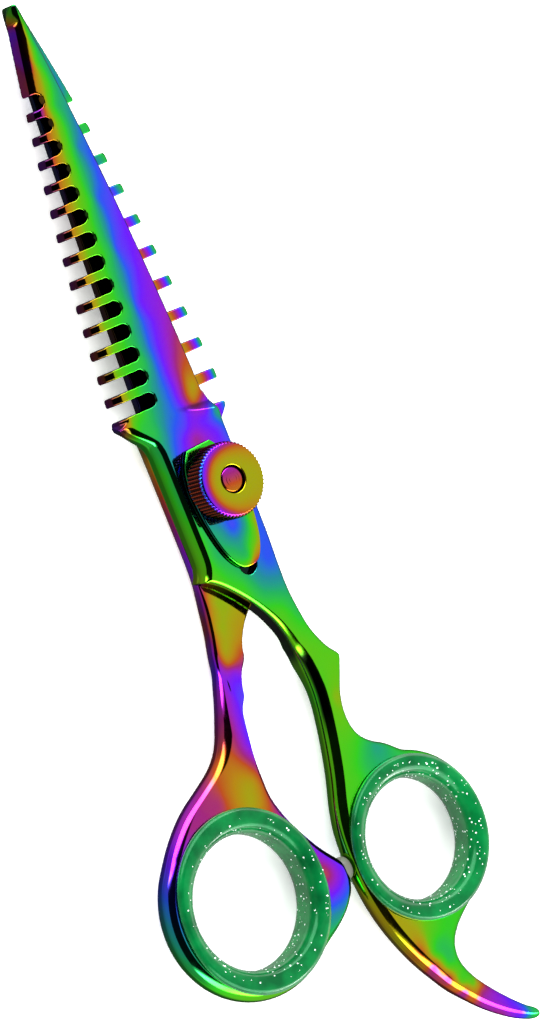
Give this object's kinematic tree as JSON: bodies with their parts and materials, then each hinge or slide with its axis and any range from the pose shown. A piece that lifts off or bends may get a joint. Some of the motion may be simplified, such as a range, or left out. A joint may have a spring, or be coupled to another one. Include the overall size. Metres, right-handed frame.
{
  "type": "thinning shears",
  "caption": "Closed hairdressing thinning shears with chunky teeth on both edges, adjusting knob, soft ring inserts and a finger rest.",
  "frame": {"origin": "on the pivot axis, at the flat back of the pivot bolt's head, in the plane of the table that the closed shears lie on", "axes": "+Y along the closed blades towards the tips, +Z along the pivot axis towards the adjusting knob, +X to the right seen from the knob's side"},
  "size_m": [0.059, 0.1721, 0.0125],
  "materials": {
    "back_steel": "mirror-polished steel with a rainbow vapour coating",
    "front_steel": "mirror-polished steel with a rainbow vapour coating",
    "bolt_steel": "turned steel with a rainbow vapour coating",
    "bush_brass": "machined",
    "washer_plastic": "low-friction polymer",
    "leaf_steel": "polished spring steel with a rainbow vapour coating",
    "spring_steel": "bright spring steel",
    "ratchet_steel": "hardened steel with a dark rainbow coating",
    "knob_steel": "knurled and polished steel with a rainbow vapour coating",
    "insert_silicone": "clear green silicone with glitter",
    "bumper_silicone": "clear silicone"
  },
  "bodies": {
    "back": {"back_blade": "back_steel", "thumb_insert": "insert_silicone", "bumper": "bumper_silicone", "pivot_bolt": "bolt_steel", "friction_washer": "washer_plastic", "ratchet_washer": "ratchet_steel"},
    "front": {"front_blade": "front_steel", "finger_insert": "insert_silicone", "tension_leaf": "leaf_steel", "pivot_bush": "bush_brass", "spring_washer": "spring_steel"},
    "knob": {"tension_knob": "knob_steel", "detent_balls": "spring_steel", "detent_springs": "spring_steel"}
  },
  "joints": [
    {"name": "blade_pivot", "type": "hinge", "parent": "back", "child": "front", "pos_m": [0, 0, 0.0034], "axis": [0, 0, 1], "range_deg": [0, 100]},
    {"name": "knob_turn", "type": "hinge", "parent": "back", "child": "knob", "pos_m": [0, 0, 0.0034], "axis": [0, 0, 1], "range_deg": [-180, 180]}
  ]
}
